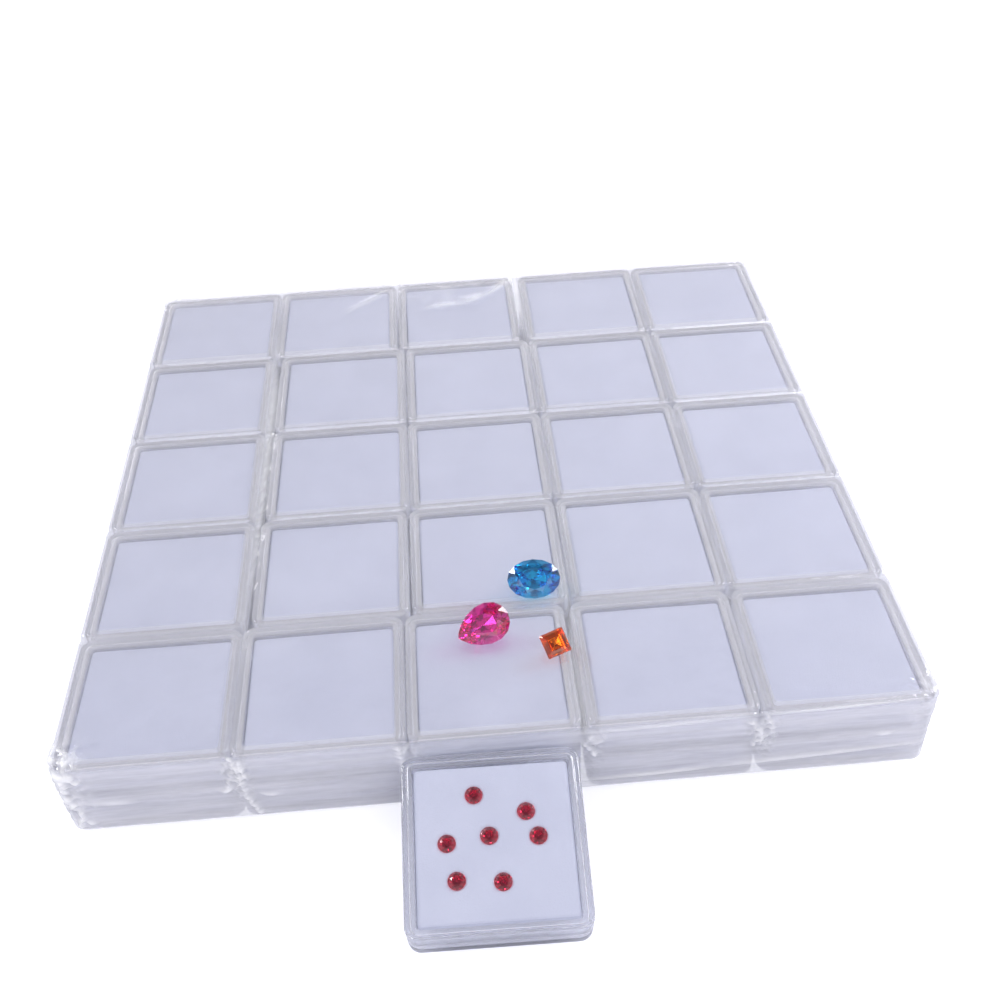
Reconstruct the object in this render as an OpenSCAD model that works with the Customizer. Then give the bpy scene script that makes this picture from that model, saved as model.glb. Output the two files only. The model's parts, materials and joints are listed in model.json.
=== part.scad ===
// Specimen boxes: a film-wrapped pack of clear foam-lined boxes in two layers, with one box of the
// same kind leaning on its front and three cut stones lying on top.
// Origin: centre of the pack's underside. +Z is up, and the leaning box is on the -Y side.

/* [Box] */
// Side of one square box
box_side = 40; // [36:1:44]
// Height of one closed box
box_height = 11.4; // [11:0.2:14]
// Radius of the box's upright corners
corner_r = 3; // [2.5:0.5:4]
// Radius that rounds the lid's top edge
lid_edge_r = 0.7; // [0.4:0.1:1]

/* [Lid and tray] */
// Thickness of the lid's top plate
lid_plate = 1.2; // [1:0.1:1.4]
// Thickness of the lid's skirt
lid_wall = 1.2; // [1:0.1:1.3]
// Height of the ledge that the lid's skirt stops on
ledge_height = 6; // [5:0.5:7]
// Gap between the lid's skirt and the tray's lip
lid_clearance = 0.2; // [0.15:0.05:0.3]
// Thickness of the tray's lip, inside the lid's skirt
lip_wall = 1; // [0.8:0.1:1.1]
// Thickness of the tray's floor
tray_floor = 1.2; // [1:0.1:1.6]

/* [Foam pad] */
// Gap between the foam pad and the tray's wall
pad_gap = 0.3; // [0.2:0.1:0.4]
// Free height between the foam pad and the lid's top plate
pad_headroom = 0.8; // [0.7:0.1:1.2]

/* [Pack] */
// Distance from one row of boxes to the next
row_pitch = 40.6; // [40.4:0.1:41]
// Room between the outermost boxes and the film
film_gap = 0.3; // [0.2:0.1:0.5]
// Thickness of the film
film_t = 0.2; // [0.2:0.1:0.4]

/* [Leaning box] */
// Angle of the leaning box's lid to the table
lean_angle = 16.5; // [15:0.5:18]
// Turn of the leaning box about the upright, seen from above
lean_yaw = -1; // [-2:0.5:0]
// Place of the leaning box along the pack's front
lean_x = -3.4; // [-40:0.2:40]

/* [Stones] */
// Length of the blue oval stone
oval_length = 13.5; // [12:0.5:15]
// Width of the blue oval stone
oval_width = 10; // [9:0.5:11]
// Length of the pink pear stone
pear_length = 13.5; // [12:0.5:15]
// Width of the pink pear stone
pear_width = 10; // [9:0.5:11]
// Side of the orange square stone
square_side = 6; // [5.6:0.2:7]
// Diameter of each round red stone
round_d = 4; // [3.4:0.2:4.4]

/* [Hidden] */
$fn = 48;
// Boxes in each row, and rows in each layer
grid = 5;
cols = [1 : grid];
// How far a cutting solid runs past the face that it opens
overcut = 1;

// Gaps between neighbouring boxes along each row, left to right, from the back row to the front.
// The boxes are loose in the film: in the middle rows the first box stands apart from the rest.
row_gaps = [
    [0.15, 0.60, 2.10, 0.15],
    [2.40, 0.30, 0.15, 0.15],
    [2.55, 0.15, 0.15, 0.15],
    [1.80, 0.60, 0.45, 0.15],
    [0.15, 0.30, 1.50, 1.05],
];

// Clear plastic and film colours as seen over the white foam
clear_lid = [0.86, 0.88, 0.93, 0.45];
clear_tray = [0.80, 0.82, 0.90, 0.55];
clear_film = [0.88, 0.90, 0.95, 0.25];
foam_white = [0.84, 0.85, 0.92];

// Small gaps and steps inside a box: over the ledge, under the pad, and from the pad up to the lip's top
ledge_gap = 0.1;
pad_under_gap = 0.1;
lip_rise = 0.2;
// Tray and lid, worked out from the outside inwards
lid_inner = box_side - 2 * lid_wall;
lid_inner_r = corner_r - lid_wall;
lip_outer = lid_inner - 2 * lid_clearance;
lip_outer_r = lid_inner_r - lid_clearance;
cavity_side = lip_outer - 2 * lip_wall;
cavity_r = 0.9;
pad_side = cavity_side - 2 * pad_gap;
pad_r = cavity_r;
lid_underside = box_height - lid_plate;
pad_top = lid_underside - pad_headroom;
pad_bottom = tray_floor + pad_under_gap;
lip_top = pad_top + lip_rise;

// Pack, and the film hood round it. The hood's lower edge stays off the table.
pack_w = grid * box_side + grid_slack(row_gaps[0]);
pack_d = (grid - 1) * row_pitch + box_side;
pack_h = 2 * box_height;
hood_in_w = pack_w + 2 * film_gap;
hood_in_d = pack_d + 2 * film_gap;
hood_in_h = pack_h + film_gap;
hood_foot = 0.5;
hood_top = hood_in_h + film_t;
hood_front = -hood_in_d / 2 - film_t;

// Leaning box: its front lower edge is on the table and its rear lower edge stops short of the film
lean_gap = 0.3;
lean_reach = box_side / 2 * sin(abs(lean_yaw));
lean_y = hood_front - lean_gap - lean_reach - box_side * cos(lean_angle);

// Places of the red stones on the leaning box's pad, from its centre
red_places = [
    [-4.0, 10.6], [7.3, 6.2], [9.6, 0.6], [-1.1, 1.3], [-10.4, 0.2], [-8.6, -8.0], [1.3, -8.8],
];
// How deep a red stone's girdle sits in the foam, and the room round the stone in its pocket
red_sink = 0.1;
pocket_gap = 0.12;
pocket_tip_r = 0.2;
// Turn from each red stone to the next about its own upright
red_turn = 10;

// Proportions of the cut stones, as shares of a stone's width
table_share = 0.56;
crown_share = 0.15;
girdle_share = 0.03;
pavilion_share = 0.42;
// The ring of points half-way down the crown: its size, and its height as a share of the crown's
crown_ring = 0.82;
crown_ring_rise = 0.55;
// The ring of points half-way down the pavilion: its size, and its depth as a share of the pavilion's
pavilion_ring = 0.55;
pavilion_ring_drop = 0.5;
// Greatest value of the pear outline's width formula, which scales it to the stone's width
pear_swell = 0.862;
facet_pairs = 8;
// Height of the middle of a red stone's girdle in its box
red_girdle_z = pad_top - red_sink + round_d * girdle_share / 2;
// Room between a loose stone and the film under it
stone_gap = 0.1;
oval_place = [12.2, -56.3];
pear_place = [-1.6, -71.1];
square_place = [15.3, -77.9];
// Turn of each loose stone about its own upright before it tips over towards the front
oval_turn = -1;
pear_turn = 22;
square_turn = 19;

// Names and places

function lid_name(r, c) = str("lid_row_", r, "_col_", c);

// Sum of the first n gaps in a row
function gap_sum(gaps, n) = n == 0 ? 0 : gaps[n - 1] + gap_sum(gaps, n - 1);

function grid_slack(gaps) = gap_sum(gaps, grid - 1);

// Centre of the box in row r and column c, counted from the back left
function box_x(r, c) =
    -pack_w / 2 + (c - 0.5) * box_side + gap_sum(row_gaps[r - 1], c - 1);

function box_y(r) = ((grid + 1) / 2 - r) * row_pitch;

module at_box(r, c, layer) {
    translate([box_x(r, c), box_y(r), layer * box_height]) children();
}

// Puts a box that stands on its underside's centre where the leaning box is
module at_leaning_box() {
    translate([lean_x, lean_y, 0])
        rotate([0, 0, lean_yaw])
            rotate([lean_angle, 0, 0])
                translate([0, box_side / 2, 0]) children();
}

// Plates and blocks with rounded upright corners

module rounded_square(side_x, side_y, r) {
    square([side_x - 2 * r, side_y], center = true);
    square([side_x, side_y - 2 * r], center = true);
    for (x = [-1, 1], y = [-1, 1])
        translate([x * (side_x / 2 - r), y * (side_y / 2 - r)]) circle(r = r);
}

module rounded_block(side, r, z0, z1) {
    translate([0, 0, z0]) linear_extrude(z1 - z0) rounded_square(side, side, r);
}

// A block whose top edge is rounded all round
module soft_topped_block(side, r, edge, z0, z1) {
    inset = side / 2 - edge;
    corner = side / 2 - r;
    rounded_block(side, r, z0, z1 - edge);
    rounded_block(side - 2 * edge, r - edge, z0, z1);
    for (turn = [0 : 90 : 270])
        rotate([0, 0, turn])
            translate([-corner, inset, z1 - edge])
                rotate([0, 90, 0]) cylinder(r = edge, h = 2 * corner);
    for (x = [-1, 1], y = [-1, 1])
        translate([x * corner, y * corner, z1 - edge])
            rotate_extrude() translate([r - edge, 0]) circle(r = edge);
}

// One box's three pieces, standing on the centre of its underside

module lid_shell() {
    difference() {
        soft_topped_block(box_side, corner_r, lid_edge_r, ledge_height + ledge_gap, box_height);
        rounded_block(lid_inner, lid_inner_r, ledge_height - overcut, lid_underside);
    }
}

module tray_shell() {
    difference() {
        union() {
            rounded_block(box_side, corner_r, 0, ledge_height);
            rounded_block(lip_outer, lip_outer_r, 0, lip_top);
        }
        rounded_block(cavity_side, cavity_r, tray_floor, box_height);
    }
}

module foam_block() {
    rounded_block(pad_side, pad_r, pad_bottom, pad_top);
}

// Rows and layers

module lid_at(r, c) {
    color(clear_lid) at_box(r, c, 1) lid_shell();
}

module lid_row(r, layer) {
    color(clear_lid) for (c = cols) at_box(r, c, layer) lid_shell();
}

module pad_row(r, layer) {
    color(foam_white) for (c = cols) at_box(r, c, layer) foam_block();
}

module tray_row(r, layer) {
    color(clear_tray) for (c = cols) at_box(r, c, layer) tray_shell();
}

// Film over the pack, open underneath
module film_hood() {
    color(clear_film)
        difference() {
            translate([0, 0, hood_foot])
                linear_extrude(hood_top - hood_foot)
                    rounded_square(hood_in_w + 2 * film_t, hood_in_d + 2 * film_t,
                        corner_r + film_gap + film_t);
            translate([0, 0, hood_foot - overcut])
                linear_extrude(hood_in_h - hood_foot + overcut)
                    rounded_square(hood_in_w, hood_in_d, corner_r + film_gap);
        }
}

// Cut stones: each is the hull of a few rings of points round its outline, with z = 0 mid-girdle.
// A ring's points are the outline's, drawn in to a share of its size.

function oval_outline(len, wid, a) = [len / 2 * cos(a), wid / 2 * sin(a)];

// Narrows to a blunt point at +X
function pear_outline(len, wid, a) =
    [len / 2 * cos(a), wid / 2 / pear_swell * sin(a) * sqrt(sin(a / 2))];

function square_outline(side, a) =
    let (reach = side / 2 / max(abs(cos(a)), abs(sin(a)))) [reach * cos(a), reach * sin(a)];

function stone_outline(shape, len, wid, a) =
    shape == "pear" ? pear_outline(len, wid, a)
    : shape == "square" ? square_outline(len, a)
    : oval_outline(len, wid, a);

function ring(shape, len, wid, share, z, start, step) =
    [for (a = [start : step : 359]) concat(share * stone_outline(shape, len, wid, a), [z])];

function stone_points(shape, len, wid) =
    let (
        step = 360 / facet_pairs,
        half = step / 2,
        offset = shape == "square" ? half : 0,
        crown = wid * crown_share,
        girdle = wid * girdle_share / 2,
        pavilion = wid * pavilion_share
    )
    concat(
        ring(shape, len, wid, table_share, girdle + crown, offset, step),
        ring(shape, len, wid, crown_ring, girdle + crown * crown_ring_rise, half, step),
        ring(shape, len, wid, 1, girdle, 0, half),
        ring(shape, len, wid, 1, -girdle, 0, half),
        ring(shape, len, wid, pavilion_ring, -girdle - pavilion * pavilion_ring_drop, half, step),
        [[0, 0, -girdle - pavilion]]
    );

function turned(points, a) =
    [for (p = points) [p.x * cos(a) - p.y * sin(a), p.x * sin(a) + p.y * cos(a), p.z]];

function tipped(points, a) =
    [for (p = points) [p.x, p.y * cos(a) - p.z * sin(a), p.y * sin(a) + p.z * cos(a)]];

function lowest(points) = min([for (p = points) p.z]);

module stone_solid(points) {
    hull() polyhedron(points, [[for (i = [0 : len(points) - 1]) i]]);
}

// A loose stone lies on its point and on the front of its girdle
module loose_stone(shape, length, width, turn, place) {
    points = turned(stone_points(shape, length, width), turn);
    reach = -min([for (p = points) p.y]);
    pavilion = width * pavilion_share;
    lying = tipped(points, atan(pavilion / reach));
    translate([place.x, place.y, hood_top + stone_gap - lowest(lying)]) stone_solid(lying);
}

module blue_oval_stone() {
    color([0.10, 0.55, 0.78]) loose_stone("oval", oval_length, oval_width, oval_turn, oval_place);
}

module pink_pear_stone() {
    color([0.77, 0.34, 0.63])
        loose_stone("pear", pear_length, pear_width, 180 + pear_turn, pear_place);
}

module orange_square_stone() {
    color([0.84, 0.33, 0.15])
        loose_stone("square", square_side, square_side, square_turn, square_place);
}

// Leaning box

module display_tray() {
    color(clear_tray) at_leaning_box() tray_shell();
}

module display_lid() {
    color(clear_lid) at_leaning_box() lid_shell();
}

// Each pocket in the pad is a cone a little wider and deeper than a red stone's underside
module stone_pocket() {
    mouth_r = round_d / 2 + pocket_gap;
    cone_h = round_d * pavilion_share + 2 * pocket_gap;
    cone_top = pad_top - red_sink;
    translate([0, 0, cone_top - cone_h]) cylinder(r1 = pocket_tip_r, r2 = mouth_r, h = cone_h);
    translate([0, 0, cone_top - pocket_gap / 4]) cylinder(r = mouth_r, h = overcut);
}

module display_pad() {
    color(foam_white)
        at_leaning_box() difference() {
            foam_block();
            for (p = red_places) translate([p.x, p.y, 0]) stone_pocket();
        }
}

module red_stones() {
    color([0.60, 0.08, 0.14])
        at_leaning_box()
            for (i = [0 : len(red_places) - 1])
                translate([red_places[i].x, red_places[i].y, red_girdle_z])
                    stone_solid(turned(stone_points("oval", round_d, round_d), red_turn * i));
}

film_hood();
for (r = cols, c = cols) lid_at(r, c);
for (r = cols) pad_row(r, 1);
for (r = cols) tray_row(r, 1);
for (r = cols) lid_row(r, 0);
for (r = cols) pad_row(r, 0);
for (r = cols) tray_row(r, 0);
display_tray();
display_pad();
display_lid();
red_stones();
blue_oval_stone();
pink_pear_stone();
orange_square_stone();
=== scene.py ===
import json
import math
import random

import bmesh
import bpy
import numpy as np
from mathutils import Matrix, Vector, noise


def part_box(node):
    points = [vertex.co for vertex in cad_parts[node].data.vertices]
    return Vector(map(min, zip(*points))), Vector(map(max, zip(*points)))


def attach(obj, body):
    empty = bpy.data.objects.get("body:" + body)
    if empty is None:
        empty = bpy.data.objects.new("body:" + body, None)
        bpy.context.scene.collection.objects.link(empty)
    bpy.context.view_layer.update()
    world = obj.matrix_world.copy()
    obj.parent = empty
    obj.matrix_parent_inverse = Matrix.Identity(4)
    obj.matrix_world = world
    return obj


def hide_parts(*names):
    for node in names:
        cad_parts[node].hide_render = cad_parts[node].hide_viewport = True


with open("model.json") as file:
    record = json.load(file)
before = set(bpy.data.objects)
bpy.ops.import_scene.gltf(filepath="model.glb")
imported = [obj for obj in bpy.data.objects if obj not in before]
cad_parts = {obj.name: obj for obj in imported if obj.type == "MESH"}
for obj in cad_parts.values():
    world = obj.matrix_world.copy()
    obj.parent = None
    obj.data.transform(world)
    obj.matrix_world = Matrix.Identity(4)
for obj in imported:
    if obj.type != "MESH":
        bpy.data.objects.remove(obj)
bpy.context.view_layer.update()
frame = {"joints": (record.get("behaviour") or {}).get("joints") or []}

# Lengths are in millimetres up to add_piece, which makes them metres.
MM = 0.001

# The frame: places of the boxes
GRID = 5


def box_mm(node):
    low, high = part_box(node)
    return low / MM, high / MM


def middle(node):
    low, high = box_mm(node)
    return (low + high) / 2


LIDS = {
    (row, col): box_mm(f"lid_row_{row}_col_{col}")
    for row in range(1, GRID + 1)
    for col in range(1, GRID + 1)
}
BOX_SIDE = LIDS[1, 1][1].x - LIDS[1, 1][0].x
PACK_TOP = LIDS[1, 1][1].z
BOX_HEIGHT = PACK_TOP / 2
HOOD_LOW, HOOD_HIGH = box_mm("film_hood")

# One box, as in the CAD
CORNER_R = 3.0
LID_WALL = 1.2
LID_ROOF = 1.2
LID_FOOT = 6.1
LID_UNDERSIDE = BOX_HEIGHT - LID_ROOF
LEDGE = 6.0
LIP_HALF = 18.6
LIP_TOP = 9.6
CAVITY_HALF = 17.6
CAVITY_R = 0.9
TRAY_FLOOR = 1.2
PAD_HALF = 17.3
PAD_BOTTOM = 1.3
PAD_TOP = 9.4

# Radii of the mouldings' edges, in the order of their outlines, and how far in their flat caps end
LID_EDGES = [0.6, 0.2, 0.25, 0.7]
TRAY_EDGES = [0.5, 0.25, 0.35, 0.25, 0.3, 0.5]
CAP_INSET = 1.5
TOP_CAP_INSET = 2.5

# The foam: its edges, and how far its sides and its top depart from flat
PAD_UNDER_EDGE = 0.4
PAD_TOP_EDGE = 0.7
PAD_CAP_INSET = 2
PAD_WAIST = 0.12
PAD_CROWN = 0.04
PAD_WAVE = 0.10
PAD_WAVES_PER_MM = 0.09
PAD_EDGE_DIP = 0.12


# Shapes swept round a rounded square

def spun(x, y, a):
    """A point turned about the origin."""
    return x * math.cos(a) - y * math.sin(a), x * math.sin(a) + y * math.cos(a)


def ring(half, z, corner_steps=8, side_steps=1):
    """Points round a rounded square at height z, anticlockwise, all corners concentric with the box's."""
    radius = max(CORNER_R - (BOX_SIDE / 2 - half), CAVITY_R)
    radius = min(radius, half)
    points = []
    for corner in range(4):
        turn = corner * math.pi / 2
        arc = []
        for i in range(corner_steps + 1):
            a = i / corner_steps * math.pi / 2
            arc.append((half - radius + radius * math.cos(a), half - radius + radius * math.sin(a)))
        start, end = arc[-1], (-(half - radius), half)
        for i in range(1, side_steps):
            arc.append((start[0] + (end[0] - start[0]) * i / side_steps, half))
        for x, y in arc:
            points.append((*spun(x, y, turn), z))
    return points


def rounded(profile, radii, steps=4):
    """A polyline in (half side, height) whose inner corners become arcs of these radii."""
    points = [profile[0]]
    for before, here, after, radius in zip(profile, profile[1:], profile[2:], radii):
        to_before = (Vector(before) - Vector(here)).normalized()
        to_after = (Vector(after) - Vector(here)).normalized()
        half_angle = to_before.angle(to_after) / 2
        reach = radius / math.tan(half_angle)
        centre = Vector(here) + (to_before + to_after).normalized() * radius / math.sin(half_angle)
        first = Vector(here) + to_before * reach - centre
        last = Vector(here) + to_after * reach - centre
        turn = first.angle_signed(last)
        for i in range(steps + 1):
            a = -turn * i / steps
            points.append(tuple(centre + Vector(spun(first.x, first.y, a))))
    points.append(profile[-1])
    return points


def swept(profile, corner_steps=8, side_steps=1):
    """A closed shell from rings at each profile point, with a flat cap at both ends."""
    rings = [ring(half, z, corner_steps, side_steps) for half, z in profile]
    return bridged(rings)


def bridged(rings):
    count = len(rings[0])
    points = [p for one in rings for p in one]
    faces = []
    for k in range(len(rings) - 1):
        for i in range(count):
            j = (i + 1) % count
            faces.append((k * count + i, k * count + j, (k + 1) * count + j, (k + 1) * count + i))
    faces.append(tuple(reversed(range(count))))
    faces.append(tuple(range((len(rings) - 1) * count, len(rings) * count)))
    return points, faces


def lid_shell():
    inner = BOX_SIDE / 2 - LID_WALL
    outer = BOX_SIDE / 2
    profile = [
        (inner - CAP_INSET, LID_UNDERSIDE),
        (inner, LID_UNDERSIDE),
        (inner, LID_FOOT),
        (outer, LID_FOOT),
        (outer, BOX_HEIGHT),
        (outer - TOP_CAP_INSET, BOX_HEIGHT),
    ]
    return swept(rounded(profile, LID_EDGES))


def tray_shell():
    outer = BOX_SIDE / 2
    profile = [
        (CAVITY_HALF - CAP_INSET, TRAY_FLOOR),
        (CAVITY_HALF, TRAY_FLOOR),
        (CAVITY_HALF, LIP_TOP),
        (LIP_HALF, LIP_TOP),
        (LIP_HALF, LEDGE),
        (outer, LEDGE),
        (outer, 0),
        (outer - CAP_INSET, 0),
    ]
    return swept(rounded(profile, TRAY_EDGES))


def foam_pad(seed, side_steps=10, rings=12):
    """A cut block of foam: soft edges, sides that bow in a little and an uneven top."""
    cap_half = PAD_HALF - PAD_CAP_INSET
    profile = rounded(
        [(cap_half, PAD_BOTTOM), (PAD_HALF, PAD_BOTTOM), (PAD_HALF, PAD_TOP), (cap_half, PAD_TOP)],
        [PAD_UNDER_EDGE, PAD_TOP_EDGE],
    )[:-1]
    flat_start = profile[-1][0]
    for k in range(1, rings):
        half = flat_start * (1 - k / rings)
        profile.append((half, PAD_TOP))
    points, faces = swept(profile, 4, side_steps)
    shaped = []
    for x, y, z in points:
        level = (z - PAD_BOTTOM) / (PAD_TOP - PAD_BOTTOM)
        waist = PAD_WAIST * math.sin(math.pi * level)
        wave = noise.noise(Vector((x * PAD_WAVES_PER_MM, y * PAD_WAVES_PER_MM, seed * 7.3)))
        dip = max(0, max(abs(x), abs(y)) / PAD_HALF) ** 6
        top = level * (PAD_WAVE * wave - PAD_EDGE_DIP * dip + PAD_CROWN)
        reach = 1 - waist / PAD_HALF
        shaped.append((x * reach, y * reach, z + top))
    return shaped, faces


# Places: where a shape that stands on its underside's centre goes

def in_pack(row, col, layer):
    low, high = LIDS[row, col]
    return Matrix.Translation(((low.x + high.x) / 2, (low.y + high.y) / 2, layer * BOX_HEIGHT))


def leaning_place():
    """The leaning box's own axes, from its lid's slide and the middle of its pad."""
    slide = next(j for j in frame["joints"] if j["name"] == "display_lid_pull")
    up = Vector(slide["axis"]).normalized()
    across = Vector((-up.x, -up.y, 0)).normalized().cross(Vector((0, 0, 1)))
    back = up.cross(across)
    turn = Matrix((across, back, up)).transposed().to_4x4()
    pad_middle = Matrix.Translation((0, 0, -(PAD_BOTTOM + PAD_TOP) / 2))
    return Matrix.Translation(middle("display_pad")) @ turn @ pad_middle


def moved(shape, place):
    points, faces = shape
    return [tuple(place @ Vector(p)) for p in points], faces


def joined(shapes):
    points, faces = [], []
    for some_points, some_faces in shapes:
        start = len(points)
        points += some_points
        faces += [tuple(start + i for i in face) for face in some_faces]
    return points, faces


def add_piece(name, shape, material, body, nodes, smooth=40, cap_material=None):
    """Makes a piece from points in millimetres. smooth is the sharpest angle, in degrees, that shades
    round. cap_material is for the last two faces, which are a swept shell's flat caps."""
    points, faces = shape
    mesh = bpy.data.meshes.new(name)
    mesh.from_pydata([tuple(c * MM for c in p) for p in points], [], faces)
    fix = bmesh.new()
    fix.from_mesh(mesh)
    bmesh.ops.recalc_face_normals(fix, faces=fix.faces)
    fix.to_mesh(mesh)
    fix.free()
    mesh.materials.append(material)
    if cap_material:
        mesh.materials.append(cap_material)
        for face in mesh.polygons[-2:]:
            face.material_index = 1
    piece = bpy.data.objects.new(name, mesh)
    bpy.context.scene.collection.objects.link(piece)
    for face in mesh.polygons:
        face.use_smooth = smooth > 0
    if smooth > 0:
        mesh.set_sharp_from_angle(angle=math.radians(smooth))
    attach(piece, body)
    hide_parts(*nodes)
    return piece


# Materials

def set_stops(ramp, stops):
    """Gives a colour ramp its stops, each a place and a colour."""
    band = ramp.color_ramp
    while len(band.elements) < len(stops):
        band.elements.new(0.5)
    for element, (place, colour) in zip(band.elements, stops):
        element.position = place
        element.color = (*colour, 1)


class Nodes:
    """Short calls for building one material's node tree."""

    def __init__(self, name):
        self.material = bpy.data.materials.new(name)
        self.material.use_nodes = True
        self.tree = self.material.node_tree
        self.tree.nodes.clear()
        self.output = self.add("ShaderNodeOutputMaterial")
        self.place = self.add("ShaderNodeTexCoord").outputs["Object"]

    def add(self, kind, links=None, **values):
        node = self.tree.nodes.new(kind)
        for key, value in values.items():
            setattr(node, key, value)
        for key, value in (links or {}).items():
            socket = node.inputs[key]
            if isinstance(value, bpy.types.NodeSocket):
                self.tree.links.new(value, socket)
            else:
                socket.default_value = value
        return node

    def link(self, source, target):
        self.tree.links.new(source, target)

    def noise(self, scale, detail=2.0, roughness=0.5, where=None):
        node = self.add(
            "ShaderNodeTexNoise",
            {"Vector": where or self.place, "Scale": scale, "Detail": detail, "Roughness": roughness},
        )
        return node.outputs["Fac"]

    def ramp(self, source, stops):
        node = self.add("ShaderNodeValToRGB", {"Fac": source})
        set_stops(node, stops)
        return node.outputs["Color"]

    def maths(self, operation, a, b=0.0, c=0.0):
        node = self.add("ShaderNodeMath", {0: a, 1: b, 2: c}, operation=operation)
        return node.outputs[0]

    def bump(self, height, strength, distance, normal=None):
        links = {"Height": height, "Strength": strength, "Distance": distance}
        if normal is not None:
            links["Normal"] = normal
        return self.add("ShaderNodeBump", links).outputs["Normal"]

    def path(self, output):
        return self.add("ShaderNodeLightPath").outputs[output]

    def finish(self, shader):
        self.link(shader, self.output.inputs["Surface"])
        return self.material

    def lets_lamps_through(self, glass, tint):
        """Rays from lamps, and those that leave a matt surface, pass straight through the clear material."""
        clear = self.add("ShaderNodeBsdfTransparent", {"Color": tint}).outputs[0]
        shadow = self.add("ShaderNodeMixShader", {1: glass, 2: clear})
        self.link(self.path("Is Shadow Ray"), shadow.inputs[0])
        diffuse = self.add("ShaderNodeMixShader", {1: shadow.outputs[0], 2: clear})
        self.link(self.path("Is Diffuse Ray"), diffuse.inputs[0])
        return diffuse.outputs[0]


LAMP_TINT = (0.96, 0.965, 0.98, 1)


def clear_plastic(name, tint, deep_tint, clarity):
    """Moulded clear plastic: faint flow waves, hairline scuffs and an uneven tint. It is cloudy where
    its clarity is under 1."""
    n = Nodes(name)
    flow = n.noise(60, 1.0, 0.4)
    tinted = n.ramp(n.noise(25, 2.0), [(0.35, deep_tint), (0.65, tint)])
    stretched = n.add("ShaderNodeMapping", {"Vector": n.place, "Scale": (4000, 300, 300)}).outputs[0]
    scuffs = n.noise(1.0, 3.0, 0.6, stretched)
    rough = n.add(
        "ShaderNodeMapRange",
        {"Value": scuffs, "From Min": 0.45, "From Max": 0.75, "To Min": 0.015, "To Max": 0.07},
    ).outputs[0]
    glass = n.add("ShaderNodeBsdfPrincipled", {
        "Base Color": tinted,
        "Roughness": rough,
        "IOR": 1.50,
        "Transmission Weight": clarity,
        "Normal": n.bump(flow, 0.12, 0.0006),
    })
    return n.finish(n.lets_lamps_through(glass.outputs[0], LAMP_TINT))


def foam_material(name, painted_shade_scale):
    """Closed-cell foam: matt, pale and slightly lilac, with fine cells and soft mottling. A scale under 1
    darkens its whole colour, a painted shade.
    """
    n = Nodes(name)
    cells = n.add("ShaderNodeTexVoronoi", {"Vector": n.place, "Scale": 2600.0}).outputs["Distance"]
    low = [painted_shade_scale * c for c in (0.590, 0.607, 0.734)]
    high = [painted_shade_scale * c for c in (0.636, 0.652, 0.780)]
    colour = n.ramp(n.noise(70, 3.0), [(0.3, low), (0.7, high)])
    grain = n.ramp(cells, [(0.0, (0.90, 0.90, 0.92)), (0.45, (1, 1, 1))])
    mixed = n.add("ShaderNodeMix", data_type="RGBA", blend_type="MULTIPLY")
    mixed.inputs["Factor"].default_value = 1.0
    n.link(colour, mixed.inputs["A"])
    n.link(grain, mixed.inputs["B"])
    foam = n.add("ShaderNodeBsdfPrincipled", {
        "Base Color": mixed.outputs["Result"],
        "Roughness": 0.85,
        "Specular IOR Level": 0.2,
        "Sheen Weight": 0.08,
        "Sheen Roughness": 0.6,
        "Normal": n.bump(cells, 0.25, 0.00015, n.bump(n.noise(400, 4.0), 0.15, 0.0003)),
    })
    return n.finish(foam.outputs[0])


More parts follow.
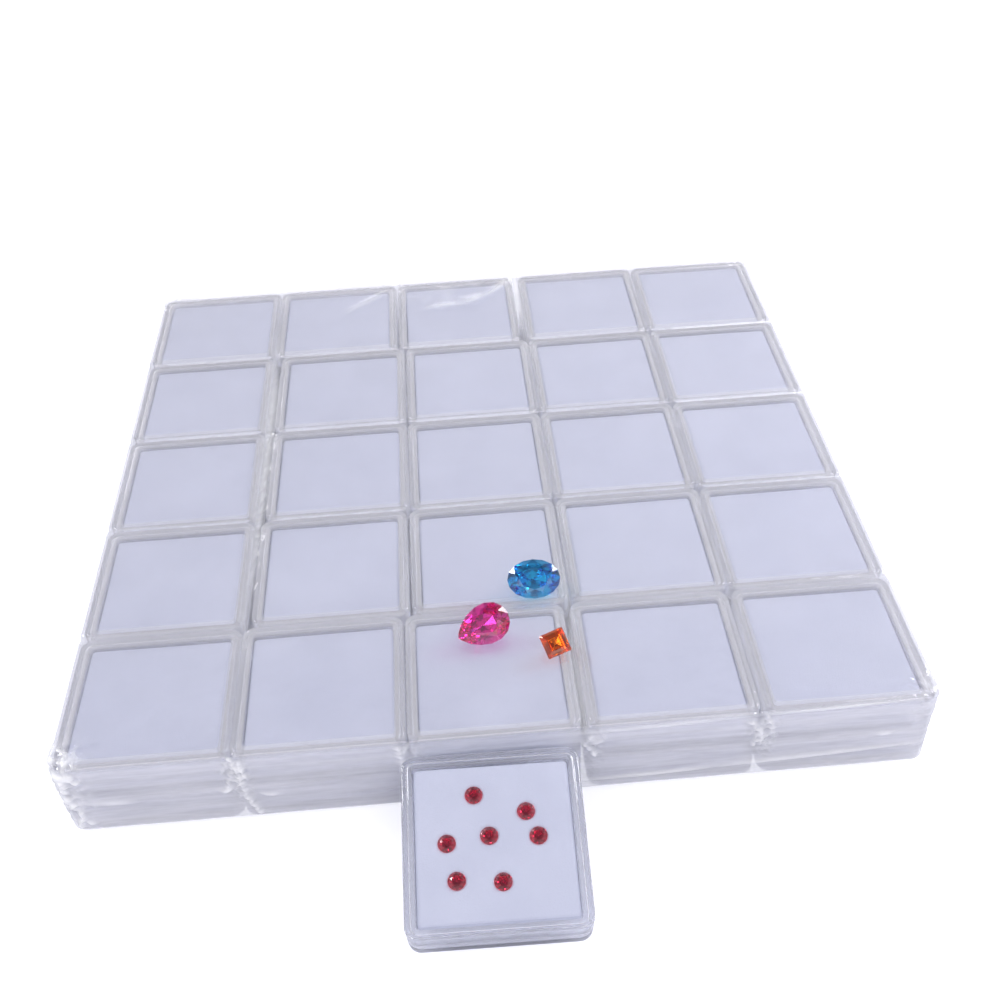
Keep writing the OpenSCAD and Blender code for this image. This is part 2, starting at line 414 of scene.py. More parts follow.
def film_material():
    """Thin shrink film: glossy, clear on top and cloudier down the sides, where it is gathered. Its folds
    and sags are painted white as highlights.
    """
    n = Nodes("film")
    facing = n.add("ShaderNodeLayerWeight", {"Blend": 0.5}).outputs["Facing"]
    steep = n.maths("POWER", facing, 5.0)
    face_on, added_at_a_glance = 0.11, 0.85
    share = n.maths("MULTIPLY_ADD", steep, added_at_a_glance, face_on)
    haze = n.noise(140, 3.0, 0.55)
    rough = n.add(
        "ShaderNodeMapRange",
        {"Value": haze, "From Min": 0.3, "From Max": 0.7, "To Min": 0.08, "To Max": 0.17},
    ).outputs[0]
    ripple = n.bump(n.noise(220, 3.0, 0.5), 0.18, 0.0008)
    clear = n.add("ShaderNodeBsdfTransparent", {"Color": (0.975, 0.975, 0.985, 1)})
    gloss = n.add("ShaderNodeBsdfGlossy", {"Color": (1, 1, 1, 1), "Roughness": rough, "Normal": ripple})
    mixed = n.add("ShaderNodeMixShader", {0: share, 1: clear.outputs[0], 2: gloss.outputs[0]})
    veil = n.add("ShaderNodeBsdfDiffuse", {"Color": (0.82, 0.82, 0.87, 1)})
    level = n.add("ShaderNodeMapping", {"Vector": n.place, "Scale": (0.22, 0.22, 2.4)}).outputs[0]
    cloud = n.add(
        "ShaderNodeMapRange",
        {
            "Value": n.noise(150, 4.0, 0.6, level),
            "From Min": 0.3, "From Max": 0.7, "To Min": 0.65, "To Max": 1.3,
        },
    ).outputs[0]
    # Heights in metres: the veil thins between the shoulder and the flat top
    shoulder, flat_top = 0.0212, 0.0231
    side_veil, top_veil = 0.46, 0.07
    height = n.add("ShaderNodeSeparateXYZ", {"Vector": n.place}).outputs["Z"]
    gathered = n.add(
        "ShaderNodeMapRange",
        {
            "Value": height,
            "From Min": shoulder, "From Max": flat_top, "To Min": side_veil, "To Max": top_veil,
        },
    ).outputs[0]
    hazed = n.add(
        "ShaderNodeMixShader",
        {0: n.maths("MULTIPLY", cloud, gathered), 1: mixed.outputs[0], 2: veil.outputs[0]},
    )
    # A white matt share on the folds and sags: a painted highlight that stands in for their glints, and also
    # the film's clouding where it doubles up
    fold = n.add("ShaderNodeAttribute", attribute_name="fold").outputs["Fac"]
    painted_glint_white = n.add("ShaderNodeBsdfDiffuse", {"Color": (0.97, 0.97, 0.99, 1)})
    with_painted_glints = n.add("ShaderNodeMixShader", {1: hazed.outputs[0], 2: painted_glint_white.outputs[0]})
    n.link(n.maths("MULTIPLY", n.maths("POWER", fold, 1.6), 0.85), with_painted_glints.inputs[0])
    return n.finish(with_painted_glints.outputs[0])


def stone_material(name, surface, zone, body, density, ior):
    """A cut stone: strongly bending glass with colour in its body, and slight colour zoning."""
    n = Nodes(name)
    zoned = n.ramp(n.noise(260, 1.0), [(0.35, zone), (0.65, surface)])
    glass = n.add("ShaderNodeBsdfPrincipled", {
        "Base Color": zoned,
        "Roughness": 0.0,
        "IOR": ior,
        "Transmission Weight": 1.0,
    })
    depth = n.add("ShaderNodeVolumeAbsorption", {"Color": (*body, 1), "Density": density})
    n.link(depth.outputs[0], n.output.inputs["Volume"])
    pale = [0.62 + 0.22 * c for c in surface]
    return n.finish(n.lets_lamps_through(glass.outputs[0], (*pale, 1)))


lid_top_plastic = clear_plastic(
    "lid_top_plastic", tint=(0.970, 0.970, 0.980), deep_tint=(0.952, 0.952, 0.965), clarity=1.0,
)
lid_plastic = clear_plastic(
    "lid_plastic", tint=(0.915, 0.923, 0.965), deep_tint=(0.897, 0.905, 0.950), clarity=0.94,
)
tray_plastic = clear_plastic(
    "tray_plastic", tint=(0.900, 0.910, 0.955), deep_tint=(0.882, 0.892, 0.940), clarity=0.93,
)
# In the pack the walls look cloudy, and only the lids' flat tops are clear
CLOUDY = {"tint": (0.930, 0.925, 0.942), "deep_tint": (0.912, 0.907, 0.925), "clarity": 0.80}
pack_lid_plastic = clear_plastic("pack_lid_plastic", **CLOUDY)
pack_tray_plastic = clear_plastic("pack_tray_plastic", **CLOUDY)
foam = foam_material("foam", painted_shade_scale=1.0)
# The display pad is the same foam made darker: painted shade
display_foam_painted_shade = foam_material("display_foam_painted_shade", painted_shade_scale=0.92)
film = film_material()
red_glass = stone_material(
    "red_stone", surface=(0.97, 0.05, 0.17), zone=(0.86, 0.02, 0.10), body=(0.94, 0.01, 0.12),
    density=150, ior=1.9,
)
blue_glass = stone_material(
    "blue_stone", surface=(0.03, 0.86, 0.98), zone=(0.01, 0.64, 0.93), body=(0.0, 0.71, 0.94),
    density=170, ior=1.95,
)
pink_glass = stone_material(
    "pink_stone", surface=(0.96, 0.22, 0.82), zone=(0.90, 0.10, 0.66), body=(0.97, 0.06, 0.68),
    density=165, ior=1.95,
)
orange_glass = stone_material(
    "orange_stone", surface=(1.0, 0.38, 0.02), zone=(1.00, 0.22, 0.01), body=(1.00, 0.30, 0.01),
    density=150, ior=1.85,
)


# The pack

def build_pack():
    lid, tray = lid_shell(), tray_shell()
    rows = range(1, GRID + 1)
    cols = range(1, GRID + 1)
    for row in rows:
        for col in cols:
            add_piece(
                f"lid_{row}_{col}", moved(lid, in_pack(row, col, 1)), pack_lid_plastic,
                "pack", [f"lid_row_{row}_col_{col}"], cap_material=lid_top_plastic,
            )
        for layer, layer_name in ((1, "top"), (0, "lower")):
            node = f"trays_{layer_name}_row_{row}"
            trays = joined([moved(tray, in_pack(row, col, layer)) for col in cols])
            add_piece(f"{node}_shells", trays, pack_tray_plastic, "pack", [node])
            node = f"pads_{layer_name}_row_{row}"
            pads = joined([
                moved(
                    foam_pad(10 * row + col + 100 * layer),
                    in_pack(row, col, layer) @ askew(row, col, layer),
                )
                for col in cols
            ])
            add_piece(f"{node}_foam", pads, foam, "pack", [node])
        node = f"lids_lower_row_{row}"
        lids = joined([moved(lid, in_pack(row, col, 0)) for col in cols])
        add_piece(f"{node}_shells", lids, pack_lid_plastic, "pack", [node])


PAD_TURN = 0.4
PAD_SHIFT = 0.12


def askew(row, col, layer):
    """Each pad lies a little out of true in its tray, by up to PAD_TURN degrees and PAD_SHIFT."""
    chance = random.Random(1000 * layer + 10 * row + col)
    turn = math.radians(chance.uniform(-PAD_TURN, PAD_TURN))
    shift = (chance.uniform(-PAD_SHIFT, PAD_SHIFT), chance.uniform(-PAD_SHIFT, PAD_SHIFT), 0)
    return Matrix.Translation(shift) @ Matrix.Rotation(turn, 4, "Z")


# The film: a top sheet on a grid that is fine over the joints, with a skirt round its edge

FILM_R = 3.5
FILM_EDGE_R = 0.8


def joint_lines(axis):
    """Mean places of the joints between boxes along one axis."""
    places = []
    for k in range(1, GRID):
        total = 0
        for other in range(1, GRID + 1):
            near, far = (
                (LIDS[other, k][1].x, LIDS[other, k + 1][0].x) if axis == 0
                else (LIDS[GRID + 1 - k, other][1].y, LIDS[GRID - k, other][0].y)
            )
            total += (near + far) / 2
        places.append(total / GRID)
    return places


def grid_places(low, high, joints, fine=0.45, coarse=1.5, reach=4.0):
    """Grid lines from low to high, fine near the joints and the ends and coarse between."""
    places, here = [low], low
    marks = [low, *joints, high]
    while here < high - fine:
        gap = min(abs(here - m) for m in marks)
        here += fine if gap < reach else coarse
        places.append(min(here, high))
    if places[-1] < high:
        places.append(high)
    return places


def edge_profile():
    """(outward from the corner's axis, height, slope) from the flat top to the film's lower edge."""
    top, foot = HOOD_HIGH.z, HOOD_LOW.z
    flat_run, flat_steps, edge_steps, side_step = 1.8, 4, 6, 0.35
    profile = [
        (FILM_R - FILM_EDGE_R - flat_run * (1 - i / flat_steps), top) for i in range(flat_steps + 1)
    ]
    for i in range(1, edge_steps):
        a = i / edge_steps * math.pi / 2
        profile.append((
            FILM_R - FILM_EDGE_R + FILM_EDGE_R * math.sin(a),
            top - FILM_EDGE_R + FILM_EDGE_R * math.cos(a),
        ))
    side = top - FILM_EDGE_R - foot
    steps = round(side / side_step)
    profile += [(FILM_R, top - FILM_EDGE_R - side * i / steps) for i in range(steps + 1)]
    return profile


def film_shape():
    inner_x = (HOOD_HIGH.x - HOOD_LOW.x) / 2 - FILM_R
    inner_y = (HOOD_HIGH.y - HOOD_LOW.y) / 2 - FILM_R
    xs = grid_places(-inner_x, inner_x, joint_lines(0))
    ys = grid_places(-inner_y, inner_y, joint_lines(1))
    profile = edge_profile()
    corner_steps = 10
    arc = [i / corner_steps * math.pi / 2 for i in range(corner_steps + 1)]
    points, faces = [], []

    def patch(rows):
        start, wide = len(points), len(rows[0])
        for row in rows:
            points.extend(row)
        for i in range(len(rows) - 1):
            for j in range(wide - 1):
                a = start + i * wide + j
                faces.append((a, a + 1, a + wide + 1, a + wide))

    patch([[(x, y, HOOD_HIGH.z) for x in xs] for y in ys])
    rim = [(0.0, HOOD_HIGH.z)] + profile
    sides = [
        (xs, lambda t, o: (t, -inner_y - o)),
        (ys, lambda t, o: (inner_x + o, t)),
        (xs, lambda t, o: (t, inner_y + o)),
        (ys, lambda t, o: (-inner_x - o, t)),
    ]
    for along, place in sides:
        patch([[(*place(t, o), z) for t in along] for o, z in rim])
    for corner_x, corner_y, turn in (
        (inner_x, inner_y, 0), (-inner_x, inner_y, 1), (-inner_x, -inner_y, 2), (inner_x, -inner_y, 3),
    ):
        patch([
            [
                (corner_x + o * math.cos(a + turn * math.pi / 2),
                 corner_y + o * math.sin(a + turn * math.pi / 2), z)
                for a in arc
            ]
            for o, z in rim
        ])
    return points, faces


def welded(shape):
    """Points, normals and faces of a surface whose patches are joined along their edges."""
    mesh = bmesh.new()
    vertices = [mesh.verts.new(p) for p in shape[0]]
    for face in shape[1]:
        corners = [vertices[i] for i in face]
        mesh.faces.new(corners)
    bmesh.ops.remove_doubles(mesh, verts=mesh.verts, dist=0.001)
    bmesh.ops.recalc_face_normals(mesh, faces=mesh.faces)
    mesh.normal_update()
    mesh.verts.ensure_lookup_table()
    mesh.verts.index_update()
    points = np.array([v.co for v in mesh.verts])
    normals = np.array([v.normal for v in mesh.verts])
    faces = [tuple(v.index for v in f.verts) for f in mesh.faces]
    mesh.free()
    if normals[np.argmax(points[:, 2])][2] < 0:
        normals = -normals
    return points, normals, faces


def bell(distance, width):
    return np.exp(-(distance / width) ** 2)


# The sag between columns starts at SAG and grows with the gap. Rows and layers have one depth each.
SAG = 0.18
SAG_PER_GAP = 0.26
ROW_SAG = 0.32
LAYER_GROOVE = 0.12


def film_sag(points):
    """How far the film sinks between the boxes, in millimetres: more where the gap is wide."""
    x, y, z = points.T
    on_top = np.clip((z - PACK_TOP + 1.5) / 1.5, 0, 1)
    sag = np.zeros(len(points))
    row_y = np.array([(LIDS[r, 1][0].y + LIDS[r, 1][1].y) / 2 for r in range(GRID, 0, -1)])
    for col in range(1, GRID):
        near = np.array([LIDS[r, col][1].x for r in range(GRID, 0, -1)])
        far = np.array([LIDS[r, col + 1][0].x for r in range(GRID, 0, -1)])
        line = np.interp(y, row_y, (near + far) / 2)
        width = np.interp(y, row_y, far - near)
        sag = np.maximum(sag, (SAG + SAG_PER_GAP * width) * bell(x - line, 0.9 + 0.5 * width))
    for k in range(1, GRID):
        line = (LIDS[k, 1][0].y + LIDS[k + 1, 1][1].y) / 2
        sag = np.maximum(sag, ROW_SAG * bell(y - line, 1.2))
    groove = LAYER_GROOVE * bell(z - BOX_HEIGHT, 0.9) * (1 - on_top)
    return sag * on_top + groove


def segment_distance(points, start, end):
    """Distance from each point to a segment, and how far along it the nearest place is, from 0 to 1."""
    start, end = np.array(start, float), np.array(end, float)
    way = end - start
    along = np.clip(((points - start) @ way) / (way @ way), 0, 1)
    nearest = start + along[:, None] * way
    return np.linalg.norm(points - nearest, axis=1), along


def crease(points, start, end, width, height):
    """A fold that stands up from the film along a line and is lower towards its ends."""
    distance, along = segment_distance(points, start, end)
    span, first = 0.92, 0.04
    fade = np.sin(np.pi * np.clip(along * span + first, 0, 1)) ** 0.5
    return height * bell(distance, width) * fade


def crumple(points, centre, reach, size, height, seed):
    """Sharp random folds that fade out away from a centre."""
    away = np.linalg.norm((points - np.array(centre)) / np.array(reach), axis=1)
    chosen = np.nonzero(away < 2.2)[0]
    folds = np.zeros(len(points))
    for i in chosen:
        p = Vector(points[i]) / size + Vector((seed * 11.7, seed * 5.1, 0))
        folds[i] = 1 - 2 * abs(noise.noise(p)) - 0.6 * abs(noise.noise(p * 2.3))
    return folds * height * np.exp(-away ** 2)


# Folds on the film's front face: two ends as (x, z), width, height
FRONT_FOLDS = [
    ((-101.5, 23.0), (-97.2, 19.9), 0.7, 1.0),
    ((-98.0, 22.0), (-96.3, 18.2), 0.5, 0.7),
    ((-99.0, 19.5), (-99.9, 12.4), 0.6, 0.8),
    ((-99.9, 12.4), (-97.8, 7.0), 0.6, 0.8),
    ((-97.8, 7.0), (-99.6, 1.5), 0.6, 0.9),
    ((-97.8, 4.2), (-95.8, 3.0), 0.6, 0.8),
    ((-94.0, 10.1), (-85.0, 9.8), 1.0, 0.5),
    ((-61.4, 23.0), (-60.0, 17.5), 0.6, 0.9),
    ((-61.0, 20.0), (-63.4, 12.0), 0.5, 0.7),
    ((-62.2, 12.4), (-64.6, 10.6), 0.8, 0.9),
    ((-60.0, 17.5), (-59.6, 8.7), 0.6, 0.7),
    ((-59.6, 8.7), (-57.2, 1.6), 0.7, 0.8),
    ((-56.0, 8.9), (-51.8, 8.4), 0.6, 0.7),
    ((-23.4, 22.0), (-22.2, 13.0), 0.8, 0.8),
    ((57.6, 20.5), (61.0, 15.5), 0.6, 0.8),
    ((61.0, 15.5), (58.6, 11.4), 0.6, 0.8),
    ((18.9, 3.6), (50.7, 4.6), 0.5, 0.7),
    ((50.0, 4.6), (100.2, 7.4), 0.5, 0.7),
    ((88.4, 11.6), (92.2, 11.8), 0.6, 0.7),
    ((16.5, 20.8), (60.0, 22.3), 0.5, 0.6),
    ((56.0, 22.2), (94.0, 23.0), 0.5, 0.6),
    ((20.0, 17.0), (24.0, 17.9), 0.6, 0.6),
]


def zigzag(start, end, step=1.5, swing=0.6):
    """Corners of a zigzag between two points of a plane."""
    start, end = Vector(start), Vector(end)
    count = max(2, round((end - start).length / step))
    side = Vector((end.y - start.y, start.x - end.x)).normalized() * swing
    return [tuple(start.lerp(end, i / count) + side * (-1) ** i) for i in range(count + 1)]


# Height of the crumpled gather at each joint of the front face, from left to right
GATHER_HEIGHTS = (1.0, 0.5, 0.5, 0.7)
# Side gathers: how many at a joint, their width, and the range of their heights
SIDE_GATHERS = 3
GATHER_WIDTH = 0.35
GATHER_RANGE = (0.1, 0.3)


def front_gathers(out, points, joints, chance):
    """Crumpled gathers that run down the front face at the joints between boxes."""
    front, top = HOOD_LOW.y, HOOD_HIGH.z
    for x, height in zip(joints, GATHER_HEIGHTS):
        centre = (x + 0.6, front, top - 8)
        out += crumple(points, centre, reach=(2.2, 3, 8), size=1.25, height=height, seed=x)
    for k in range(4 * len(joints)):
        x = joints[k % 4] + chance.uniform(-2.0, 2.0)
        high = top - chance.uniform(0, 8)
        low = high - chance.uniform(3, 7)
        end = (x + chance.uniform(-3.5, 3.5), front, low)
        out += crease(points, (x, front, high), end, width=0.45, height=chance.uniform(0.3, 0.6))


def front_folds(out, points):
    """The single folds on the front face. A steep one is a zigzag."""
    front = HOOD_LOW.y
    for start, end, width, height in FRONT_FOLDS:
        turns = zigzag(start, end) if abs(end[0] - start[0]) < abs(end[1] - start[1]) else [start, end]
        for (x0, z0), (x1, z1) in zip(turns, turns[1:]):
            fold = crease(points, (x0, front, z0), (x1, front, z1), width, height)
            np.maximum(out, fold, out=out)


def side_gather(out, points, place, chance):
    """Faint gathers at one joint. place turns a shift along the film into a point of its top edge."""
    top = HOOD_HIGH.z
    for k in range(SIDE_GATHERS):
        shift = chance.uniform(-2.5, 2.5)
        start = (*place(shift), top)
        end = (*place(shift * 0.4), top - chance.uniform(8, 18))
        out += crease(points, start, end, GATHER_WIDTH, chance.uniform(*GATHER_RANGE))


def crumpled_corners(out, points):
    """The corners are crumpled, and worst at the front left."""
    front, top, left = HOOD_LOW.y, HOOD_HIGH.z, HOOD_LOW.x
    corners = [
        ((left + 2, front + 2, top - 1), 0.9, 3),
        ((left + 1, front + 1, top - 12), 0.7, 4),
        ((-left - 2, front + 2, top - 2), 0.45, 5),
        ((left + 2, -front - 2, top - 2), 0.4, 6),
        ((-left - 2, -front - 2, top - 2), 0.4, 8),
    ]
    for centre, height, seed in corners:
        out += crumple(points, centre, reach=(6, 6, 9), size=2.6, height=height, seed=seed)


def back_row_folds(out, points):
    """Loose folds over the second and third boxes of the back row."""
    top = HOOD_HIGH.z
    back = LIDS[1, 3][0].y + BOX_SIDE / 2
    middle_x = (LIDS[1, 3][0].x + LIDS[1, 3][1].x) / 2
    out += crumple(points, (middle_x, back + 10, top), reach=(20, 9, 9), size=7.0, height=0.3, seed=9)
    streak_x = (LIDS[1, 2][0].x + LIDS[1, 2][1].x) / 2
    start, end = (streak_x + 2, back + 2, top), (streak_x + 17, back + 15, top)
    out += crease(points, start, end, width=1.6, height=0.35)
    curl = [(-11, 2), (3, 4), (12, 9), (19, 17)]
    for (x0, y0), (x1, y1) in zip(curl, curl[1:]):
        start, end = (middle_x + x0, back + y0, top), (middle_x + x1, back + y1, top)
        out += crease(points, start, end, width=1.3, height=0.4)


def film_details(points):
    """Outward movement of each film point: gathers at the joints, creases and crumpled corners."""
    out = np.zeros(len(points))
    chance = random.Random(7)
    joints = joint_lines(0)
    front_gathers(out, points, joints, chance)
    front_folds(out, points)
    for x in joints:
        side_gather(out, points, lambda shift: (x + shift, -HOOD_LOW.y), chance)
    for y in joint_lines(1):
        for side in (HOOD_LOW.x, -HOOD_LOW.x):
            side_gather(out, points, lambda shift: (side, y + shift), chance)
    # Puckers in the wide gap beside the first column
    gap_x = (LIDS[3, 1][1].x + LIDS[3, 2][0].x) / 2
    middle_of_gap = (gap_x, 0, HOOD_HIGH.z)
    out += crumple(points, middle_of_gap, reach=(1.4, 48, 3), size=1.5, height=0.7, seed=12)
    crumpled_corners(out, points)
    back_row_folds(out, points)
    return out


def film_waves(points):
    """Slow waves of a film that is tight but not flat."""
    waves = np.zeros(len(points))
    for i, p in enumerate(points):
        v = Vector(p)
        waves[i] = 0.06 * noise.noise(v * 0.07) + 0.03 * noise.noise(v * 0.3 + Vector((3, 9, 4)))
    return waves


def build_film():
    points, normals, faces = welded(film_shape())
    details = film_details(points)
    sag = film_sag(points)
    lift = details + film_waves(points) - sag
    points = points + normals * lift[:, None]
    lowest = HOOD_LOW.z + 0.25 * (1 + np.sin(points[:, 0] * 0.31) * np.cos(points[:, 1] * 0.23))
    at_foot = points[:, 2] < HOOD_LOW.z + 0.3
    points[at_foot, 2] = lowest[at_foot]
    shape = ([tuple(p) for p in points], faces)
    piece = add_piece("film_wrap", shape, film, "film", ["film_hood"], smooth=180)
    # The attribute of the painted highlight that whitens the film: 1 from this height of fold up, and a
    # share of a sag's depth
    full_height, painted_glint_sag_share = 0.9, 0.6
    fold = piece.data.attributes.new("fold", "FLOAT", "POINT")
    fold.data.foreach_set("value", np.clip(np.maximum(details / full_height, sag * painted_glint_sag_share), 0, 1))


# Cut stones with the CAD's outlines and more facets. z = 0 is mid-girdle and +X is the long axis.

TABLE_SHARE = 0.56
CROWN_SHARE = 0.15
GIRDLE_SHARE = 0.03
PAVILION_SHARE = 0.42
PEAR_SWELL = 0.862
LONG_STONE = 13.5
LONG_STONE_WIDTH = 10
SQUARE_STONE = 6
CORNER_NIP = 0.07


def oval_outline(length, width, a):
    return length / 2 * math.cos(a), width / 2 * math.sin(a)


def pear_outline(length, width, a):
    return length / 2 * math.cos(a), width / 2 / PEAR_SWELL * math.sin(a) * math.sqrt(abs(math.sin(a / 2)))


def stone_ring(outline, length, width, share, z, count, start=0.0):
    """count points at a share of the outline's size. start is in steps."""
    ring_points = []
    for i in range(count):
        a = (i + start) / count * math.tau
        x, y = outline(length, width, a)
        ring_points.append((share * x, share * y, z))
    return ring_points


def brilliant(outline, length, width, pairs=8):
    crown = width * CROWN_SHARE
    girdle = width * GIRDLE_SHARE / 2
    pavilion = width * PAVILION_SHARE
    points = []
    points += stone_ring(outline, length, width, TABLE_SHARE, girdle + crown, pairs)
    points += stone_ring(outline, length, width, 0.76, girdle + crown * 0.70, pairs, 0.5)
    points += stone_ring(outline, length, width, 1, girdle, 2 * pairs)
    points += stone_ring(outline, length, width, 1, -girdle, 2 * pairs)
    points += stone_ring(outline, length, width, 0.78, -girdle - pavilion * 0.26, 2 * pairs, 0.5)
    points += stone_ring(outline, length, width, 0.50, -girdle - pavilion * 0.58, pairs, 0.5)
    points.append((0, 0, -girdle - pavilion))
    return points


def step_cut(length, width):
    """Square steps with their corners just cut off."""
    crown = width * CROWN_SHARE
    girdle = width * GIRDLE_SHARE / 2
    pavilion = width * PAVILION_SHARE
    levels = [
        (TABLE_SHARE, girdle + crown),
        (0.80, girdle + crown * 0.62),
        (1, girdle),
        (1, -girdle),
        (0.78, -girdle - pavilion * 0.34),
        (0.48, -girdle - pavilion * 0.68),
        (0.10, -girdle - pavilion),
    ]
    points = []
    for share, z in levels:
        half = share * length / 2
        cut = half * (1 - CORNER_NIP)
        for turn in range(4):
            for x, y in ((half, cut), (cut, half)):
                points.append((*spun(x, y, turn * math.pi / 2), z))
    return points


def hull(points):
    mesh = bmesh.new()
    for p in points:
        mesh.verts.new(p)
    bmesh.ops.convex_hull(mesh, input=mesh.verts)
    loose = [v for v in mesh.verts if not v.link_faces]
    bmesh.ops.delete(mesh, geom=loose, context="VERTS")
    bmesh.ops.dissolve_limit(mesh, angle_limit=math.radians(0.5), verts=mesh.verts, edges=mesh.edges)
    mesh.verts.index_update()
    shape = [tuple(v.co) for v in mesh.verts], [tuple(v.index for v in f.verts) for f in mesh.faces]
    mesh.free()
    return shape


def loose_stone(node, points, turn, material):
    """A stone that lies on its point and the front of its girdle, centred where its solid is."""
    spin = Matrix.Rotation(math.radians(turn), 4, "Z")
    points = [spin @ Vector(p) for p in points]
    reach = -min(p.y for p in points)
    pavilion = -min(p.z for p in points)
    tip = Matrix.Rotation(math.atan(pavilion / reach), 4, "X")
    points = [tip @ p for p in points]
    low, high = box_mm(node)
    own_low = Vector([min(p[k] for p in points) for k in range(3)])
    own_high = Vector([max(p[k] for p in points) for k in range(3)])
    shift = (low + high) / 2 - (own_low + own_high) / 2
    shift.z = low.z - own_low.z
    shape = hull([tuple(p + shift) for p in points])
    slot = node.split("_")[0] + "_stone"
    add_piece(slot + "_cut", shape, material, slot, [node], smooth=0)


ROUND_D = 4.0
RED_SINK = 0.1
POCKET_GAP = 0.1
DIMPLE_DEPTH = 0.22
DIMPLE_R = 2.5
RED_PLACES = [
    (-4.0, 10.6), (7.3, 6.2), (9.6, 0.6), (-1.1, 1.3), (-10.4, 0.2), (-8.6, -8.0), (1.3, -8.8),
]


def build_stones():
    oval = brilliant(oval_outline, LONG_STONE, LONG_STONE_WIDTH)
    pear = brilliant(pear_outline, LONG_STONE, LONG_STONE_WIDTH)
    square = step_cut(SQUARE_STONE, SQUARE_STONE)
    loose_stone("blue_oval_stone", oval, turn=-1, material=blue_glass)
    loose_stone("pink_pear_stone", pear, turn=202, material=pink_glass)
    loose_stone("orange_square_stone", square, turn=19, material=orange_glass)


# The leaning box

def pocketed_pad():
    """The display pad: its top sinks round each stone, which sits in a pocket."""
    points, faces = foam_pad(77, side_steps=48, rings=40)
    shaped = []
    for x, y, z in points:
        if z > PAD_TOP - 0.3:
            for px, py in RED_PLACES:
                away = math.hypot(x - px, y - py)
                z -= DIMPLE_DEPTH * math.exp(-(away / DIMPLE_R) ** 2)
                depth = (ROUND_D / 2 + POCKET_GAP - away) * 2 * PAVILION_SHARE
                if depth > 0:
                    z = min(z, PAD_TOP - RED_SINK - depth - POCKET_GAP)
        shaped.append((x, y, z))
    return shaped, faces


def red_turn(i):
    """Degrees that a red stone is turned about its own axis: -2, 0 or 2, and not the CAD's turn."""
    return 2 * (i % 3 - 1)


def build_leaning_box():
    place = leaning_place()
    add_piece("display_box_lid", moved(lid_shell(), place), lid_plastic, "display_cover",
              ["display_lid"], cap_material=lid_top_plastic)
    add_piece("display_box_tray", moved(tray_shell(), place), tray_plastic, "display_box",
              ["display_tray"])
    pad = add_piece("display_box_foam", moved(pocketed_pad(), place), display_foam_painted_shade, "display_box",
                    ["display_pad"])
    stones = []
    for i, (x, y) in enumerate(RED_PLACES):
        z = PAD_TOP - RED_SINK + ROUND_D * GIRDLE_SHARE / 2
        turned = Matrix.Translation((x, y, z)) @ Matrix.Rotation(math.radians(red_turn(i)), 4, "Z")
        stones.append(moved(hull(brilliant(oval_outline, ROUND_D, ROUND_D)), place @ turned))
    add_piece("red_stones_cut", joined(stones), red_glass, "display_box", ["red_stones"],
              smooth=0)


build_pack()
build_film()
build_stones()
build_leaning_box()


# Floor, light and camera

FLOOR_HALF = 6.0
# How much the floor glows for the camera, and for rays that come off or through the object
SEEN_GLOW = 0.6
MIRRORED_GLOW = 0.08


def build_floor():
    n = Nodes("floor")
    matt = n.add("ShaderNodeBsdfDiffuse", {"Color": (0.60, 0.60, 0.68, 1), "Roughness": 0.5}).outputs[0]
    glow = n.add("ShaderNodeEmission", {"Color": (1, 1, 1, 1)})
    mirrored = n.maths("ADD", n.path("Is Glossy Ray"), n.path("Is Transmission Ray"))
    seen = n.maths("MULTIPLY", n.path("Is Camera Ray"), SEEN_GLOW)
    n.link(n.maths("MULTIPLY_ADD", mirrored, MIRRORED_GLOW, seen), glow.inputs["Strength"])
    both = n.add("ShaderNodeAddShader", {0: matt, 1: glow.outputs[0]}).outputs[0]
    material = n.finish(both)
    mesh = bpy.data.meshes.new("floor")
    corners = [(-1, -1), (1, -1), (1, 1), (-1, 1)]
    mesh.from_pydata([(x * FLOOR_HALF, y * FLOOR_HALF, 0) for x, y in corners], [], [(0, 1, 2, 3)])
    mesh.materials.append(material)
    floor = bpy.data.objects.new("floor", mesh)
    bpy.context.scene.collection.objects.link(floor)


def area_lamp(name, place, size, watts, target=(0, 0, 0), width=None, lights="all"):
    """A lamp that faces its target: square, or a level panel of this width. lights is all, shine, gloss
    or matt. A shine lamp doesn't light matt surfaces. A gloss lamp only shows in reflections. A matt one
    only lights matt surfaces."""
    lamp = bpy.data.lights.new(name, "AREA")
    lamp.shape = "RECTANGLE"
    lamp.size = width or size
    lamp.size_y = size
    lamp.energy = watts
    lamp_object = bpy.data.objects.new(name, lamp)
    lamp_object.location = place
    way = Vector(target) - Vector(place)
    lamp_object.rotation_euler = way.to_track_quat("-Z", "Y").to_euler()
    if lights in ("shine", "gloss"):
        lamp_object.visible_diffuse = False
    if lights == "gloss":
        lamp_object.visible_transmission = False
    if lights == "matt":
        lamp_object.visible_glossy = False
        lamp_object.visible_transmission = False
    bpy.context.scene.collection.objects.link(lamp_object)


def build_lamps():
    """Places are in metres. The first three and front_right light everything."""
    area_lamp("window", (-1.13, 0.40, 1.10), size=0.45, watts=8.4)
    area_lamp("near_right", (0.42, 0.10, 0.33), size=0.22, watts=1.25)
    area_lamp("low_back", (0.40, 1.00, 0.22), size=0.30, watts=0.5)
    area_lamp("front_strip", (0, -1.00, 0.27), size=0.06, watts=2.5, width=1.2, lights="matt")
    area_lamp("fill", (0.15, -0.42, 0.50), size=0.25, watts=0.38, target=(0.03, -0.08, 0), lights="matt")
    area_lamp("front_right", (0.45, -0.85, 0.70), size=0.12, watts=0.4)
    area_lamp("front_panel", (0, -1.00, 0.55), size=0.70, watts=2.4, width=1.6, lights="gloss")
    area_lamp("back_panel", (-0.10, 1.10, 0.38), size=0.10, watts=0.2, width=0.5, lights="gloss")
    area_lamp("back_left", (-0.70, 0.97, 0.51), size=0.22, watts=0.35, target=(0, -0.12, 0), lights="shine")


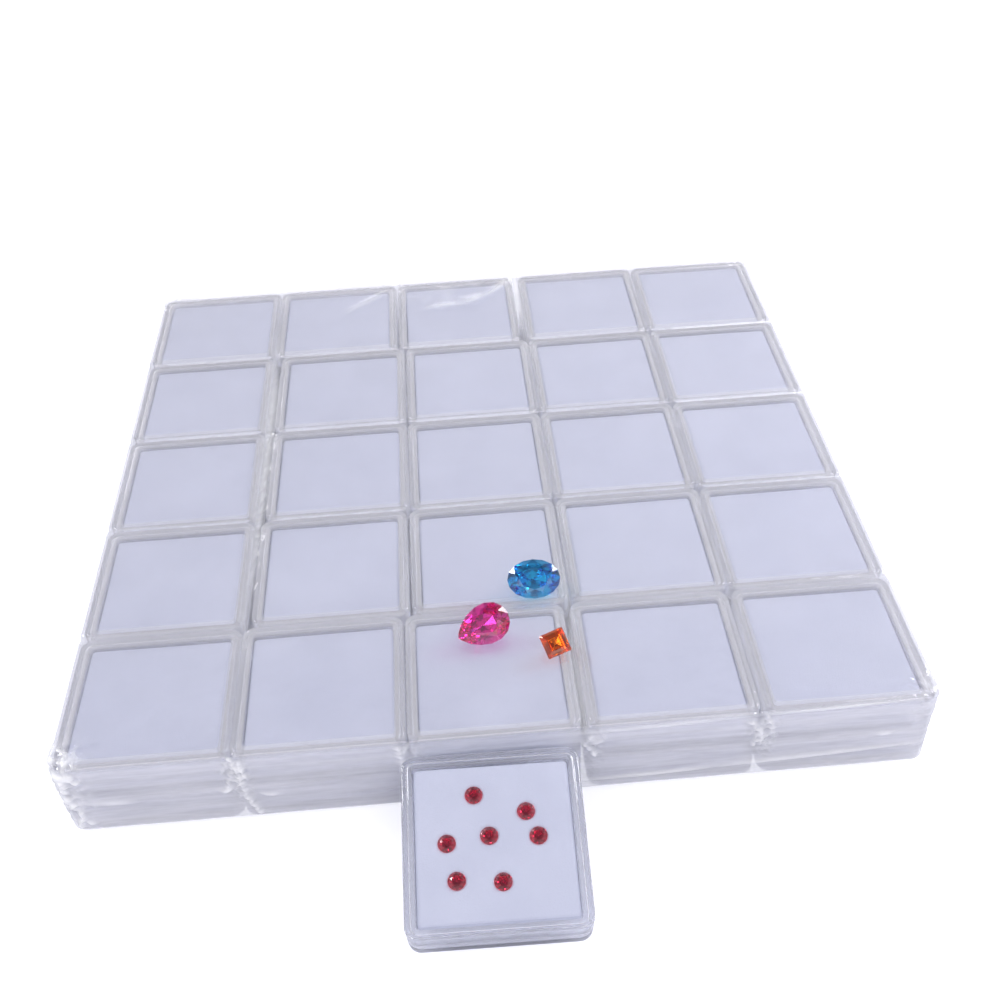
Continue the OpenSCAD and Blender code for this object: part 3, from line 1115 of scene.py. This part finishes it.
# Stops of the sky, from level with the object at 0 to straight up at 1
SOFT_SKY = [(0.0, (0.62, 0.62, 0.65)), (0.3, (0.66, 0.66, 0.69)), (1.0, (0.77, 0.77, 0.79))]
ROOM = [
    (0.0, (0.76, 0.75, 0.76)),
    (0.25, (0.70, 0.69, 0.70)),
    (0.45, (0.62, 0.61, 0.62)),
    (0.70, (0.52, 0.52, 0.54)),
    (0.86, (0.18, 0.18, 0.21)),
    (1.0, (0.12, 0.12, 0.15)),
]


def graded(tree, height, stops):
    """A background whose colour changes with height, from stops of height and colour."""
    ramp = tree.nodes.new("ShaderNodeValToRGB")
    set_stops(ramp, stops)
    tree.links.new(height, ramp.inputs["Fac"])
    sky = tree.nodes.new("ShaderNodeBackground")
    tree.links.new(ramp.outputs["Color"], sky.inputs["Color"])
    return sky.outputs[0]


def build_world():
    """Soft even light on matt surfaces, a greyer room in reflections, and white to the camera."""
    world = bpy.data.worlds.new("room")
    world.use_nodes = True
    tree = world.node_tree
    tree.nodes.clear()
    output = tree.nodes.new("ShaderNodeOutputWorld")
    place = tree.nodes.new("ShaderNodeTexCoord")
    split = tree.nodes.new("ShaderNodeSeparateXYZ")
    path = tree.nodes.new("ShaderNodeLightPath")
    white = tree.nodes.new("ShaderNodeBackground")
    white.inputs["Color"].default_value = (1, 1, 1, 1)
    tree.links.new(place.outputs["Generated"], split.inputs[0])
    height = split.outputs["Z"]
    soft = graded(tree, height, SOFT_SKY)
    room = graded(tree, height, ROOM)
    shader = room
    for output_name, other in (("Is Diffuse Ray", soft), ("Is Camera Ray", white.outputs[0])):
        mix = tree.nodes.new("ShaderNodeMixShader")
        tree.links.new(path.outputs[output_name], mix.inputs[0])
        tree.links.new(shader, mix.inputs[1])
        tree.links.new(other, mix.inputs[2])
        shader = mix.outputs[0]
    tree.links.new(shader, output.inputs["Surface"])
    bpy.context.scene.world = world


# The camera, solved from where the corners of the boxes lie in the photograph
CAMERA_PLACE = (-0.00498, -0.27877, 0.24306)
CAMERA_TURN = -2.477
CAMERA_TILT = 49.65
CAMERA_ROLL = -2.83
CAMERA_LENS = 44.08
CAMERA_SENSOR = 36


def build_camera():
    camera = bpy.data.cameras.new("camera")
    camera.lens = CAMERA_LENS
    camera.sensor_width = CAMERA_SENSOR
    camera.clip_start = 0.01
    camera_object = bpy.data.objects.new("camera", camera)
    turn = (
        Matrix.Rotation(math.radians(CAMERA_TURN), 4, "Z")
        @ Matrix.Rotation(math.radians(CAMERA_TILT), 4, "X")
        @ Matrix.Rotation(math.radians(CAMERA_ROLL), 4, "Z")
    )
    camera_object.matrix_world = Matrix.Translation(CAMERA_PLACE) @ turn
    bpy.context.scene.collection.objects.link(camera_object)
    bpy.context.scene.camera = camera_object


build_floor()
build_world()
build_lamps()
build_camera()

scene = bpy.context.scene
scene.view_settings.view_transform = "Standard"
scene.cycles.max_bounces = 32
scene.cycles.transmission_bounces = 32
scene.cycles.transparent_max_bounces = 48
scene.cycles.glossy_bounces = 12
